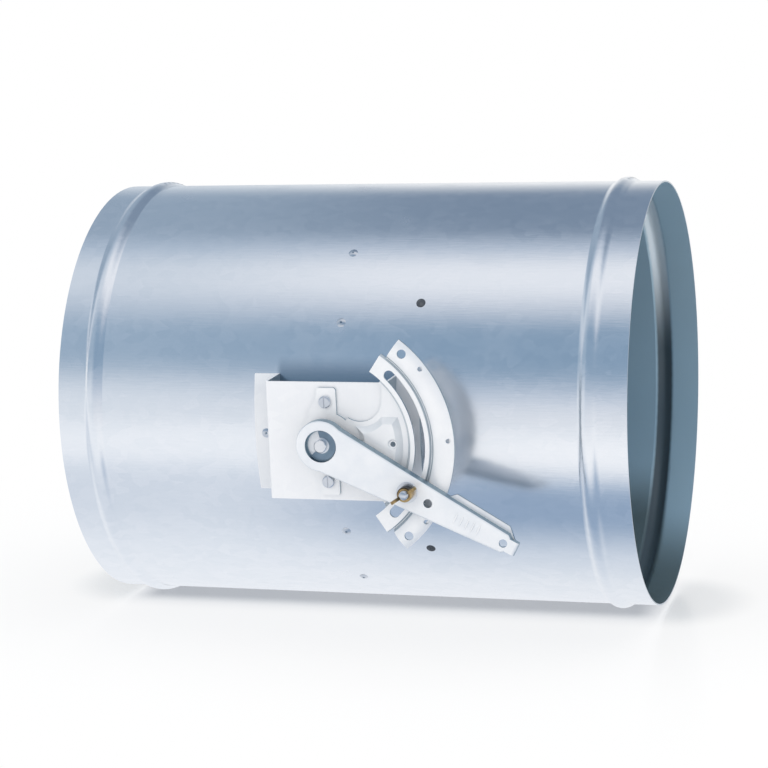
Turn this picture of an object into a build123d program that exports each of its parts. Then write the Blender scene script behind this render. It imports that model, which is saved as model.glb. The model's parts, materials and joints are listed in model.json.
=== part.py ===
from build123d import *
import os
from math import asin, cos, radians, sin

# Volume control damper: a round sheet-steel duct section with a pivoting disc
# blade, set from outside by a lever that is clamped on a slotted quadrant.
#
# Frame, in millimetres: the origin is the centre of the inlet end, +X runs along
# the duct, +Z is up, and the blade shaft lies along Y. The control side is -Y.
# "Height" below means distance from the duct axis towards the control side.

os.makedirs("parts", exist_ok=True)

# ---------------------------------------------------------------- clearances
RUNNING = 0.05          # radial clearance of a shaft in its bush
SEAT_GAP = 0.3          # gap between faces of bodies that move past each other
SLOT_GAP = 0.5          # lock bolt to the side of the arc slot
FOOT_GAP = 0.1          # riveted blade stop to the bore of the casing

# ---------------------------------------------------------------- casing
duct_radius = 150.0     # outside of the plain wall
duct_length = 400.0
wall = 1.0
bead_station = 26.0     # from each end to the middle of the rolled bead
bead_half_width = 9.0
bead_height = 3.0
seam_width = 12.0       # flattened lock seam along the back of the casing
seam_rise = 1.0
seam_angle = 35.0       # below horizontal, on the side away from the control
seam_inset = 40.0       # the seam is dressed flat this far from each end

# ---------------------------------------------------------------- blade and shaft
shaft_station = 203.0   # from the inlet end
shaft_radius = 6.0
spigot_radius = 4.3     # turned front end of the shaft
blade_sheet = 1.5
blade_rim_gap = 1.3     # between the blade's rim and the foot of its stop
rib_length = 150.0
rib_width = 12.0
rib_rise = 2.0
rib_offset = 78.0       # from the shaft axis to each stiffening rib
saddle_places = (-88.0, 0.0, 88.0)
saddle_sheet = 2.0
saddle_width = 22.0
saddle_foot = 14.0
bolt_radius = 3.0       # M6 fixings of the blade
bolt_head_across = 10.0
bolt_head_height = 4.0
nut_height = 5.0

# ---------------------------------------------------------------- blade stops
stop_sheet = 1.2
stop_foot = 12.0
stop_leg = 12.0
stop_clear_angle = 20.0     # each stop ends this far from the shaft direction
stop_rivet_angles = (29.0, 50.0)
rivet_radius = 2.0
rivet_head_radius = 3.2
rivet_head_height = 1.0
plug_station = 54.5         # from the shaft, towards the outlet
plug_angle = 34.5
plug_radius = 2.5
plug_head_radius = 3.2
plug_head_height = 1.2
plug_tail = 2.0             # stem showing inside the wall

# ---------------------------------------------------------------- stand-off bracket
bracket_stand = 22.0    # the bracket's outer face above the plain wall
bracket_face = duct_radius + bracket_stand
bracket_sheet = 1.5
bracket_width = 84.0
bracket_length = 80.0
foot_width = 16.0
bracket_bend = 2.0

# ---------------------------------------------------------------- bushes
bush_radius = 8.0
bush_flange_radius = 11.0
bush_flange = 1.5
bush_stand = 4.0        # how far a casing bush stands out of the wall
cap_wall = 1.6

# ---------------------------------------------------------------- quadrant
quadrant_sheet = 1.5
slot_radius = 65.0          # path of the lock bolt about the shaft
slot_half_angle = 45.0
hub_pad_radius = 20.0
ear_half_width = 6.75
ear_middle = 0.75           # the ears sit a little towards the arc
ear_reach = 36.5
ear_corner = 2.0
ear_screw_reach = 27.0
ear_flare = 6.0             # each ear widens by this much into the hub pad
ear_flare_start = 31.0
ear_flare_end = 20.0
scallop_radius = 15.5
scallop_x = 23.6
scallop_z = 29.5
band_half_width = 6.5       # raised band on each side of the bolt's path
band_rise = 5.5             # outer face of the band above the bracket
band_half_angle = 56.0
band_inner = slot_radius - band_half_width
band_outer = slot_radius + band_half_width
band_top = bracket_face + band_rise
web_gap = 1.5               # the flat web ends this far inside the band
web_lap = 2.5               # the slope up to the band laps the web by this much
web_step = 1.0
web_radius = band_inner - web_gap
pad_inset = 3.0
pad_radius = web_radius - pad_inset
pad_half_height = 19.0
pad_rise = 4.0
pad_margin = 2.0            # from the scallop's edge to the foot of the pad
pad_slope = 45.0
web_hole_radius = 1.8
web_sink_radius = 3.4       # the hole sits in a small coned dimple
web_sink_depth = 0.9
web_hole_x = pad_radius - 7.5
groove_width = 3.0          # fold between the band and the rim
groove_drop = 1.6
groove_step = 0.9
rim_width = 14.0
rim_inner = band_outer + groove_width
rim_outer = rim_inner + rim_width
rim_edge_rise = 1.0         # edges of the rim above the band
rim_edge_top = band_top + rim_edge_rise
rim_crown = 2.0
rim_half_angle = 52.5
slope_half_angle = 47.0
end_hole_reach = rim_inner + 8.1
end_hole_angle = 47.5
end_hole_radius = 3.0
dimple_radius = 1.6
dimple_reach = rim_inner + 10.5
dimple_angles = (-37.0, 2.5, 37.0)

# ---------------------------------------------------------------- lever
lever_rest = -27.0      # lever direction at rest, above horizontal is positive
lever_stand = 10.5      # outer face of the lever above the slotted band
lever_top = band_top + lever_stand
lever_sheet = 1.8
lever_depth = 7.0       # over its flanges
lever_flange_bottom = lever_top - lever_depth
lever_hub_radius = 17.2
lever_shoulder_angle = 68.0
lever_neck_half = 11.6      # half width where the lock bolt passes
lever_tip_half = 6.8
lever_tip_length = 76.0     # from the lock bolt to the tip
lever_tip_reach = slot_radius + lever_tip_length
lever_tip_corner = 4.0
lever_edge_round = 1.2
lever_tip_hole_radius = 2.8
lever_tip_hole = lever_tip_reach - 5.0
lever_lock_hole_radius = 3.0
lever_lock_hole = slot_radius + 15.5
hub_cup_radius = 10.8
hub_cup_depth = 4.0
grip_start = slot_radius + 28.0
grip_end = lever_tip_reach - 7.0
grip_lip = 3.6
curl_half_width = 4.6
curl_radius = 2.4
shaft_flat = 0.5            # depth of the two flats that drive the lever
shaft_stand = 1.0           # front end of the shaft above the lever
collar_wall = 3.5
clip_radius = 9.8
clip_sheet = 1.2
clip_bite = 0.8             # depth of its groove in the shaft
clip_mouth = 120.0          # opening angle of the retaining ring
clip_mouth_middle = 189.0   # direction of the opening, from the lever's own

# ---------------------------------------------------------------- lock bolt and wing nut
lock_radius = 3.0
lock_head_radius = 5.6
lock_head_height = 2.6
washer_radius = 7.0
washer_sheet = 1.2
nut_boss_radius = 5.0
nut_boss_height = 6.0
wing_span = 20.0
wing_height = 9.0
wing_lip = 3.6          # width of the rounded end of a wing
wing_root = 3.0         # the wings start inside the boss
wing_low = 0.8
wing_sheet = 2.0
wing_turn = 60.0        # how far the wings stand turned from the lever
nut_travel = 1.5        # how far the wing nut backs off
lock_end_spare = 1.5

# ---------------------------------------------------------------- screws
screw_radius = 2.5
screw_head_radius = 4.2
screw_head_height = 2.4
screw_head_round = 1.0
screw_slot = 1.2        # width and depth
screw_spare = 1.5       # thread showing past the nut
small_nut_across = 8.0
small_nut_height = 4.0


# ---------------------------------------------------------------- helpers
def facing(height):
    """Plane across the shaft at a height, seen from the control side: x along the duct, y up."""
    return Plane(origin=(shaft_station, -height, 0), x_dir=(1, 0, 0), z_dir=(0, -1, 0))


def slab(sketch, low, high):
    """Raise a sketch, drawn about the shaft, into a solid from one height to another."""
    return extrude(facing(low) * sketch, amount=high - low)


def disc(radius, low, high, x=0.0, z=0.0):
    """Cylinder along the shaft direction."""
    return slab(Pos(x, z) * Circle(radius), low, high)


def polar(reach, angle):
    """Point in the facing plane at a reach from the shaft."""
    return reach * cos(radians(angle)), reach * sin(radians(angle))


def sector(radius, half_angle):
    """Pie slice about the shaft, symmetric about the duct direction."""
    start = polar(radius, -half_angle)
    end = polar(radius, half_angle)
    arc = ThreePointArc(start, (radius, 0), end)
    return make_face(Line((0, 0), start) + arc + Line(end, (0, 0)))


def duct_cylinder(radius, start=-10.0, end=None):
    """Solid round bar on the duct axis."""
    stop = duct_length + 10.0 if end is None else end
    return Pos(start, 0, 0) * extrude(Plane.YZ * Circle(radius), amount=stop - start)


def hexagon(across, low, high, x=0.0, z=0.0):
    return slab(Pos(x, z) * RegularPolygon(across / 2, 6, major_radius=False), low, high)


def on_wall(station, angle):
    """Location on the duct axis whose z points out through the wall at an angle from the shaft."""
    return Pos(station, 0, 0) * Rot(-angle, 0, 0) * Rot(90, 0, 0)


def swing(shape, angle):
    """Turn a shape about the shaft; positive is anticlockwise from the control side."""
    return shape.rotate(Axis((shaft_station, 0, 0), (0, -1, 0)), angle)


def group(shapes):
    """One node made of several separate solids."""
    return Compound([solid for shape in shapes for solid in shape.solids()])


# ---------------------------------------------------------------- casing
def wall_line(radius):
    """Half section of the wall with its two rolled beads, as edges from inlet to outlet."""
    swage = (bead_half_width**2 + bead_height**2) / (4 * bead_height)
    half_x = bead_half_width / 2
    half_y = bead_height / 2
    turn = asin(half_x / swage) / 2
    low = (swage * sin(turn), swage * (1 - cos(turn)))
    edges = []
    reach = 0.0
    for middle in (bead_station, duct_length - bead_station):
        start = middle - bead_half_width
        end = middle + bead_half_width
        edges.append(Line((reach, radius), (start, radius)))
        knots = [
            (start, radius),
            (start + low[0], radius + low[1]),
            (start + half_x, radius + half_y),
            (middle - low[0], radius + bead_height - low[1]),
            (middle, radius + bead_height),
        ]
        edges.append(ThreePointArc(*knots[0:3]))
        edges.append(ThreePointArc(*knots[2:5]))
        mirrored = [(2 * middle - x, y) for x, y in reversed(knots)]
        edges.append(ThreePointArc(*mirrored[0:3]))
        edges.append(ThreePointArc(*mirrored[2:5]))
        reach = end
    edges.append(Line((reach, radius), (duct_length, radius)))
    return edges


def casing_shell():
    outer = wall_line(duct_radius)
    inner = wall_line(duct_radius - wall)
    ends = [
        Line((0, duct_radius - wall), (0, duct_radius)),
        Line((duct_length, duct_radius - wall), (duct_length, duct_radius)),
    ]
    shell = revolve(make_face(outer + inner + ends), Axis.X)
    seam = duct_cylinder(duct_radius + seam_rise, seam_inset, duct_length - seam_inset)
    seam -= duct_cylinder(duct_radius - wall / 2)
    strip = Pos(duct_length / 2, 0, duct_radius) * Box(duct_length, seam_width, 20.0)
    shell += seam & (Rot(-90 - seam_angle, 0, 0) * strip)
    shell -= disc(bush_radius, duct_radius - 20, duct_radius + 20)
    shell -= disc(bush_radius, -duct_radius - 20, -duct_radius + 20)
    for place, radius in wall_holes():
        shell -= place * Pos(0, 0, duct_radius) * Cylinder(radius, 20.0)
    return shell


def stop_rivet_places():
    """Rivets of the two stops: the foot of each is centred on its own station."""
    places = []
    for sign, station in ((1, upper_foot_middle), (-1, lower_foot_middle)):
        for angle in stop_rivet_angles:
            places.append(on_wall(shaft_station + station, sign * angle))
            places.append(on_wall(shaft_station + station, sign * (180 - angle)))
    return places


def plug_places():
    return [on_wall(shaft_station + plug_station, sign * plug_angle) for sign in (1, -1)]


def foot_rivet_places():
    reach = bracket_width / 2 + foot_width / 2
    return [on_wall(shaft_station + sign * reach, 0.0) for sign in (-1, 1)]


def wall_holes():
    holes = [(place, rivet_radius) for place in stop_rivet_places() + foot_rivet_places()]
    return holes + [(place, plug_radius) for place in plug_places()]


def dome(radius, height):
    """Low dome standing on z = 0."""
    ball = (radius**2 + height**2) / (2 * height)
    return (Pos(0, 0, height - ball) * Sphere(ball)) & (Pos(0, 0, height / 2) * Cylinder(radius, height))


def blind_rivet(low, seat):
    """Rivet through the wall: shank from a low radius, domed hollow head on its seat."""
    shank = Pos(0, 0, (low + seat) / 2) * Cylinder(rivet_radius, seat - low)
    head = Pos(0, 0, seat) * dome(rivet_head_radius, rivet_head_height)
    pit = Pos(0, 0, seat + rivet_head_height) * Cylinder(rivet_radius / 2, rivet_head_height)
    return shank + head - pit


def stop_rivets():
    low = duct_radius - wall - FOOT_GAP - stop_sheet
    return group(place * blind_rivet(low, duct_radius) for place in stop_rivet_places())


def bracket_rivets():
    seat = duct_radius + bracket_sheet
    return group(place * blind_rivet(duct_radius - wall, seat) for place in foot_rivet_places())


def casing_plugs():
    """Push-in plugs that close the two test holes: a stem and a low rounded head."""
    low = duct_radius - wall - plug_tail
    stem = Pos(0, 0, (low + duct_radius) / 2) * Cylinder(plug_radius, duct_radius - low)
    head = Pos(0, 0, duct_radius) * dome(plug_head_radius, plug_head_height)
    return group(place * (stem + head) for place in plug_places())


# ---------------------------------------------------------------- blade stops
blade_near = shaft_radius                   # blade faces, from the shaft axis
blade_far = shaft_radius + blade_sheet
blade_radius = duct_radius - wall - FOOT_GAP - stop_sheet - blade_rim_gap
upper_leg_face = -(blade_near - SEAT_GAP)
lower_leg_face = -(blade_far + SEAT_GAP + stop_sheet)
upper_foot_middle = upper_leg_face + stop_foot / 2
lower_foot_middle = lower_leg_face + stop_foot / 2


def blade_stop(leg_face, sign):
    """Curved angle strip on the inside of the wall that the closed blade lands on."""
    bore = duct_radius - wall - FOOT_GAP
    section = Rectangle(stop_foot, stop_sheet, align=(Align.MIN, Align.MAX))
    section += Rectangle(stop_sheet, stop_leg, align=(Align.MIN, Align.MAX))
    profile = Plane.XY * Pos(shaft_station + leg_face, bore) * section
    arc = 180 - 2 * stop_clear_angle
    turned = profile.rotate(Axis.X, 180 - stop_clear_angle if sign > 0 else stop_clear_angle)
    ring = revolve(turned, Axis((0, 0, 0), (-1, 0, 0)) if sign > 0 else Axis.X, arc)
    if ring.center().Z * sign < 0:
        ring = ring.rotate(Axis.X, 180)
    for place in stop_rivet_places():
        ring -= place * Pos(0, 0, bore) * Cylinder(rivet_radius, 10.0)
    return ring


# ---------------------------------------------------------------- stand-off bracket
def stand_off_bracket():
    """Pressed hat section, open above and below, whose feet follow the casing."""
    face_low = bracket_face - bracket_sheet
    half = bracket_width / 2
    hat = Rectangle(bracket_width, bracket_face)
    hat = Pos(0, bracket_face / 2) * hat
    hat = fillet(hat.vertices().group_by(Axis.Y)[-1], bracket_bend)
    inner = Pos(0, face_low / 2) * Rectangle(bracket_width - 2 * bracket_sheet, face_low)
    side = Plane(origin=(shaft_station, 0, -bracket_length / 2), x_dir=(1, 0, 0), z_dir=(0, 0, 1))
    cover = extrude(side * (hat - inner), amount=bracket_length)
    cover = mirror(cover, Plane.XZ) if cover.center().Y > 0 else cover
    feet = duct_cylinder(duct_radius + bracket_sheet) - duct_cylinder(duct_radius)
    body = cover - duct_cylinder(duct_radius)
    for sign in (-1, 1):
        middle = shaft_station + sign * (half + foot_width / 2 - bracket_sheet / 2)
        window = Box(foot_width + bracket_sheet, duct_radius, bracket_length)
        body += feet & (Pos(middle, -duct_radius, 0) * window)
    body -= disc(bush_radius, face_low - 10, bracket_face + 10)
    for z in (-ear_screw_reach, ear_screw_reach):
        body -= disc(screw_radius, face_low - 10, bracket_face + 10, z=z)
    for place in foot_rivet_places():
        body -= place * Pos(0, 0, duct_radius) * Cylinder(rivet_radius, 20.0)
    return body


# ---------------------------------------------------------------- bushes and cap
def casing_bush(side):
    """Flanged bush in the wall; its inner flange is shaped to the curve of the casing."""
    bore = duct_radius - wall
    flange = disc(bush_flange_radius, bore - bush_flange - 1.0, bore) & duct_cylinder(bore)
    tube = disc(bush_radius, bore - bush_flange - 1.0, duct_radius + bush_stand)
    bush = flange + tube - disc(shaft_radius + RUNNING, 0, duct_radius + 20)
    return bush if side > 0 else mirror(bush, Plane.XZ)


def rear_cap():
    """Blind cap over the rear bush, with a foot that follows the casing."""
    low = duct_radius - 5.0
    inside = duct_radius + bush_stand
    top = inside + 2.0 + cap_wall
    cap = disc(bush_radius + cap_wall, low, top)
    cap = fillet(cap.edges().group_by(Axis.Y)[0], cap_wall)
    cap -= disc(bush_radius, low, inside + 2.0)
    cap -= duct_cylinder(duct_radius)
    return mirror(cap, Plane.XZ)


def bracket_bush():
    seat = bracket_face + quadrant_sheet
    bush = disc(bush_radius, bracket_face - bracket_sheet - 3.0, seat)
    bush += disc(bush_flange_radius, seat, seat + bush_flange)
    return bush - disc(shaft_radius + RUNNING, 0, seat + 20)


# ---------------------------------------------------------------- quadrant
def quadrant_outline():
    """Flat plan of the hub pad, its two ears and the web out to the bands."""
    plan = sector(web_radius, slope_half_angle) + Circle(hub_pad_radius)
    ears = RectangleRounded(2 * ear_half_width, 2 * ear_reach, ear_corner)
    plan += Pos(ear_middle, 0) * ears
    side = ear_middle - ear_half_width
    for sign in (-1, 1):
        plan += make_face(Polyline(
            (side, sign * ear_flare_start),
            (side - ear_flare, sign * ear_flare_end),
            (side - ear_flare, 0),
            (side, 0),
            close=True,
        ))
        mouth = Pos(scallop_x, sign * (scallop_z + web_radius / 2))
        plan -= Pos(scallop_x, sign * scallop_z) * Circle(scallop_radius)
        plan -= mouth * Rectangle(2 * scallop_radius, web_radius)
    return plan


def raised_pad():
    """Drawn-up triangle of the web between the two scallops, sloped on every side."""
    plan = sector(pad_radius, slope_half_angle) & Rectangle(2 * web_radius, 2 * pad_half_height)
    plan -= Circle(hub_pad_radius + pad_margin)
    for sign in (-1, 1):
        plan -= Pos(scallop_x, sign * scallop_z) * Circle(scallop_radius + pad_margin)
    low = bracket_face
    pad = extrude(facing(low) * plan, amount=pad_rise + quadrant_sheet, taper=pad_slope)
    return pad


def turned_strip(face, half_angle):
    """Revolve a section about the shaft, symmetric about the duct direction."""
    start = face.rotate(Axis((shaft_station, 0, 0), (0, -1, 0)), -half_angle)
    return revolve(start, Axis((shaft_station, 0, 0), (0, -1, 0)), 2 * half_angle)


def section_face(edges):
    """Section drawn as reach and height, stood up beside the shaft."""
    plane = Plane(origin=(shaft_station, 0, 0), x_dir=(1, 0, 0), z_dir=(0, 0, 1))
    return mirror(plane * make_face(edges), Plane.XZ)


def arc_slot(half_angle, radius, half_width):
    """Curved slot about the shaft with round ends."""
    ring = sector(radius + half_width, half_angle) - Circle(radius - half_width)
    for sign in (-1, 1):
        ring += Pos(*polar(radius, sign * half_angle)) * Circle(half_width)
    return ring


def quadrant_plate():
    base_low = bracket_face
    base_top = bracket_face + quadrant_sheet
    base = slab(quadrant_outline(), base_low, base_top)
    pad = raised_pad()
    hollow = Pos(0, quadrant_sheet, 0) * pad
    pad_low = hollow & slab(Circle(web_radius), base_low - pad_rise, base_top + pad_rise)
    base = base + pad - pad_low
    band_low = band_top - quadrant_sheet
    slope = section_face(Polyline(
        (web_radius - web_lap, base_low),
        (web_radius - web_lap, base_top),
        (web_radius - web_step, base_top),
        (band_inner, band_top),
        (band_inner + web_step / 2, band_top),
        (band_inner + web_step / 2, band_low),
        (web_radius, base_low),
        close=True,
    ).edges())
    groove_top = band_top - groove_drop
    rim_low = rim_edge_top - quadrant_sheet
    middle = (rim_inner + rim_outer) / 2
    band = section_face(Polyline(
        (band_inner, band_low),
        (band_inner, band_top),
        (band_outer, band_top),
        (band_outer + groove_step + groove_step / 9, groove_top),
        (band_outer + groove_step + groove_step / 9, groove_top - quadrant_sheet),
        (band_outer, band_low),
        close=True,
    ).edges())
    rim_top_arc = ThreePointArc(
        (rim_inner, rim_edge_top), (middle, rim_edge_top + rim_crown), (rim_outer, rim_edge_top)
    )
    rim_low_arc = ThreePointArc(
        (rim_outer, rim_low), (middle, rim_low + rim_crown), (rim_inner, rim_low)
    )
    join_x = band_outer + groove_step
    fold_x = join_x + groove_step / 2
    rim_edges = [
        rim_top_arc,
        Line((rim_outer, rim_edge_top), (rim_outer, rim_low)),
        rim_low_arc,
        Line((rim_inner, rim_low), (fold_x, groove_top - quadrant_sheet)),
        Line((fold_x, groove_top - quadrant_sheet), (join_x, groove_top - quadrant_sheet)),
        Line((join_x, groove_top - quadrant_sheet), (join_x, groove_top)),
        Line((join_x, groove_top), (fold_x, groove_top)),
        Line((fold_x, groove_top), (rim_inner, rim_edge_top)),
    ]
    rim = section_face(rim_edges)
    plate = base + turned_strip(slope, slope_half_angle)
    plate += turned_strip(band, band_half_angle)
    plate += turned_strip(rim, rim_half_angle)
    slot_half = lock_radius + SLOT_GAP
    plate -= slab(arc_slot(slot_half_angle, slot_radius, slot_half), base_low, lever_top)
    for angle in (-end_hole_angle, end_hole_angle):
        x, z = polar(end_hole_reach, angle)
        plate -= disc(end_hole_radius, base_low, lever_top, x, z)
    for angle in dimple_angles:
        x, z = polar(dimple_reach, angle)
        plate -= disc(dimple_radius, rim_edge_top, lever_top, x, z)
    plate -= disc(bush_radius, base_low, base_top)
    for z in (-ear_screw_reach, ear_screw_reach):
        plate -= disc(screw_radius, base_low, base_top, z=z)
    plate -= disc(web_hole_radius, base_low, lever_top, x=web_hole_x)
    sink = Pos(web_hole_x, 0) * Circle(web_sink_radius)
    plate -= extrude(facing(base_top + pad_rise) * sink, amount=-web_sink_depth, taper=pad_slope)
    return plate


# ---------------------------------------------------------------- screws
def quadrant_screws():
    seat = bracket_face + quadrant_sheet
    solids = []
    for z in (-ear_screw_reach, ear_screw_reach):
        low = bracket_face - bracket_sheet - small_nut_height - screw_spare
        screw = disc(screw_radius, low, seat, z=z)
        head = disc(screw_head_radius, seat, seat + screw_head_height, z=z)
        screw += fillet(head.edges().group_by(Axis.Y)[0], screw_head_round)
        cut = Pos(0, z) * Rectangle(screw_slot, 3 * screw_head_radius)
        screw -= slab(cut, seat + screw_head_height - screw_slot, seat + screw_head_height)
        solids.append(screw)
    return group(solids)


def quadrant_nuts():
    top = bracket_face - bracket_sheet
    solids = []
    for z in (-ear_screw_reach, ear_screw_reach):
        nut = hexagon(small_nut_across, top - small_nut_height, top, z=z)
        solids.append(nut - disc(screw_radius, top - small_nut_height, top, z=z))
    return group(solids)


# ---------------------------------------------------------------- shaft and blade
def lever_seat():
    """Two-flat section on the shaft that turns with the lever."""
    return Circle(shaft_radius - shaft_flat) & Rectangle(2 * shaft_radius, 2 * spigot_radius)


def shaft():
    shoulder = lever_top - hub_cup_depth - lever_sheet
    floor = lever_top - hub_cup_depth
    rod = disc(shaft_radius, -(duct_radius + bush_stand), shoulder)
    rod += slab(lever_seat(), shoulder, floor)
    spigot = disc(spigot_radius, floor, lever_top + shaft_stand)
    spigot = chamfer(spigot.edges().group_by(Axis.Y)[0], shaft_flat)
    rod += spigot
    groove = Circle(2 * spigot_radius) - Circle(spigot_radius - clip_bite)
    rod -= slab(groove, floor, floor + clip_sheet)
    return rod


def blade_frame(reach, across, normal):
    """Point of the open blade: reach along the duct, across along Y, normal up."""
    return shaft_station + reach, across, normal


def blade_disc():
    """Round sheet under the shaft, with two pressed ribs parallel to it."""
    sheet = Pos(*blade_frame(0, 0, -blade_far)) * extrude(Circle(blade_radius), amount=blade_sheet)
    for sign in (-1, 1):
        base = Rot(0, 0, 90) * SlotOverall(rib_length, rib_width)
        place = Pos(*blade_frame(sign * rib_offset, 0, -blade_far - rib_rise))
        rib = place * extrude(base, amount=rib_rise + blade_sheet)
        inner = Rot(0, 0, 90) * SlotOverall(rib_length - 2 * blade_sheet, rib_width - 2 * blade_sheet)
        well = Pos(0, 0, blade_sheet) * place * extrude(inner, amount=rib_rise + blade_sheet)
        sheet = sheet + rib - well
    for x, y in blade_bolt_places():
        sheet -= Pos(*blade_frame(x, y, -blade_far)) * Cylinder(bolt_radius, 20.0)
    return sheet


bolt_reach = shaft_radius + saddle_sheet + saddle_foot / 2


def blade_bolt_places():
    return [(sign * bolt_reach, y) for y in saddle_places for sign in (-1, 1)]


def blade_saddles():
    """Straps bent over the shaft and bolted down to the blade on both sides."""
    top = shaft_radius + saddle_sheet
    solids = []
    for y in saddle_places:
        arch = Circle(top) + Pos(0, -shaft_radius / 2) * Rectangle(2 * top, shaft_radius)
        feet_half = top + saddle_foot
        arch += Pos(0, -blade_near + saddle_sheet / 2) * Rectangle(2 * feet_half, saddle_sheet)
        arch -= Circle(shaft_radius)
        arch -= Pos(0, -shaft_radius) * Rectangle(2 * shaft_radius, 2 * shaft_radius)
        arch -= Pos(0, -blade_near - 10) * Rectangle(4 * feet_half, 20)
        plane = Plane(origin=(shaft_station, y + saddle_width / 2, 0), x_dir=(1, 0, 0), z_dir=(0, -1, 0))
        strap = extrude(plane * arch, amount=saddle_width)
        for sign in (-1, 1):
            strap -= Pos(*blade_frame(sign * bolt_reach, y, -blade_near)) * Cylinder(bolt_radius, 20.0)
        solids.append(strap)
    return group(solids)


def blade_bolts():
    seat = saddle_sheet - blade_near
    length = saddle_sheet + blade_sheet + nut_height + 1.5
    solids = []
    for x, y in blade_bolt_places():
        head = extrude(RegularPolygon(bolt_head_across / 2, 6, major_radius=False), amount=bolt_head_height)
        shank = extrude(Circle(bolt_radius), amount=-length)
        solids.append(Pos(*blade_frame(x, y, seat)) * (head + shank))
    return group(solids)


def blade_nuts():
    solids = []
    for x, y in blade_bolt_places():
        nut = extrude(RegularPolygon(bolt_head_across / 2, 6, major_radius=False), amount=-nut_height)
        nut -= extrude(Circle(bolt_radius), amount=-nut_height)
        solids.append(Pos(*blade_frame(x, y, -blade_far)) * nut)
    return group(solids)


# ---------------------------------------------------------------- lever
def lever_outline(shrink=0.0):
    """Plan of the lever along +x: round hub, straight taper, blunt tip."""
    hub = lever_hub_radius - shrink
    neck = lever_neck_half - shrink
    tip = lever_tip_half - shrink
    reach = lever_tip_reach - shrink
    blunt = tip / 2
    corner = reach - lever_tip_corner
    shoulder = polar(hub, lever_shoulder_angle)
    upper = Polyline(shoulder, (slot_radius, neck), (corner, tip), (reach, blunt))
    lower = Polyline(
        (reach, -blunt), (corner, -tip), (slot_radius, -neck), (shoulder[0], -shoulder[1])
    )
    end = Line((reach, blunt), (reach, -blunt))
    back = ThreePointArc((shoulder[0], -shoulder[1]), (-hub, 0), shoulder)
    return make_face(upper.edges() + [end] + lower.edges() + [back])


def control_lever():
    """Pressed channel with its flanges towards the duct, a cupped hub and a curled tip."""
    top = lever_top
    under = lever_top - lever_sheet
    body = slab(lever_outline(), lever_flange_bottom, top)
    body = fillet(body.faces().sort_by(Axis.Y)[0].edges(), lever_edge_round)
    body -= slab(lever_outline(lever_sheet), lever_flange_bottom, under)
    # The flange on the upper side turns outwards along the grip, with sloping ends.
    grip_window = make_face(Polyline(
        (grip_start - lever_neck_half, 0),
        (grip_start + lever_neck_half, 2 * lever_neck_half),
        (grip_end - lever_neck_half, 2 * lever_neck_half),
        (grip_end + lever_neck_half, 0),
        close=True,
    ))
    lip = (lever_outline(-grip_lip) - lever_outline(lever_sheet / 2)) & grip_window
    body += slab(lip, lever_flange_bottom, lever_flange_bottom + lever_sheet)
    cup_floor = top - hub_cup_depth
    cup_low = cup_floor - lever_sheet
    body += disc(hub_cup_radius + lever_sheet, cup_low, top)
    body -= disc(hub_cup_radius, cup_floor, top)
    body -= slab(lever_seat(), cup_low, cup_floor)
    body -= disc(lock_radius, under, top, x=slot_radius)
    body -= disc(lever_lock_hole_radius, under, top, x=lever_lock_hole)
    tongue = Pos(lever_tip_reach, 0) * Rectangle(2 * curl_radius, 2 * curl_half_width)
    body += slab(tongue, under, top)
    body -= disc(lever_tip_hole_radius, under, top, x=lever_tip_hole)
    roll = Cylinder(curl_radius, 2 * curl_half_width)
    body += Pos(shaft_station + lever_tip_reach + curl_radius, curl_radius - top, 0) * roll
    return body


def shaft_collar():
    """Spacer that keeps the lever clear of the bracket bush."""
    low = bracket_face + quadrant_sheet + bush_flange + SEAT_GAP
    high = lever_top - hub_cup_depth - lever_sheet
    return disc(shaft_radius + collar_wall, low, high) - disc(shaft_radius, low, high)


def shaft_clip():
    """Open retaining ring in the groove of the shaft's front end."""
    floor = lever_top - hub_cup_depth
    ring = Circle(clip_radius) - Circle(spigot_radius - clip_bite)
    mouth = Rot(0, 0, clip_mouth_middle) * sector(2 * clip_radius, clip_mouth / 2)
    return slab(ring - mouth, floor, floor + clip_sheet)


# ---------------------------------------------------------------- lock
def lock_bolt():
    low = band_top - quadrant_sheet - SEAT_GAP
    end = lever_top + washer_sheet + nut_boss_height + nut_travel + lock_end_spare
    head = disc(lock_head_radius, low - lock_head_height, low, x=slot_radius)
    head = fillet(head.edges().group_by(Axis.Y)[-1], 1.4)
    stem = disc(lock_radius, low, end, x=slot_radius)
    stem = chamfer(stem.edges().group_by(Axis.Y)[0], 0.5)
    return head + stem


def lock_washer():
    washer = Circle(washer_radius) - Circle(lock_radius + SEAT_GAP)
    return slab(Pos(slot_radius, 0) * washer, lever_top, lever_top + washer_sheet)


def wing_nut():
    """Turned boss with two upswept wings."""
    seat = lever_top + washer_sheet
    boss = disc(nut_boss_radius, seat, seat + nut_boss_height, x=slot_radius)
    boss = fillet(boss.edges().group_by(Axis.Y)[0], wing_low)
    half = wing_span / 2
    upright = Plane(
        origin=(shaft_station + slot_radius, -seat, wing_sheet / 2),
        x_dir=(1, 0, 0),
        z_dir=(0, 0, -1),
    )
    for sign in (-1, 1):
        foot = (sign * wing_root, wing_low)
        crotch = (sign * wing_root, nut_boss_height - wing_low)
        edge = Spline(
            foot,
            (sign * (half - 0.7 * wing_lip), wing_height / 3),
            (sign * half, wing_height - wing_low),
            (sign * (half - wing_lip), wing_height),
            crotch,
        )
        boss += extrude(upright * make_face(edge + Line(crotch, foot)), amount=wing_sheet)
    boss -= disc(lock_radius + RUNNING, seat, seat + wing_height, x=slot_radius)
    pivot = Axis((shaft_station + slot_radius, 0, 0), (0, -1, 0))
    return boss.rotate(pivot, wing_turn)


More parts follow.
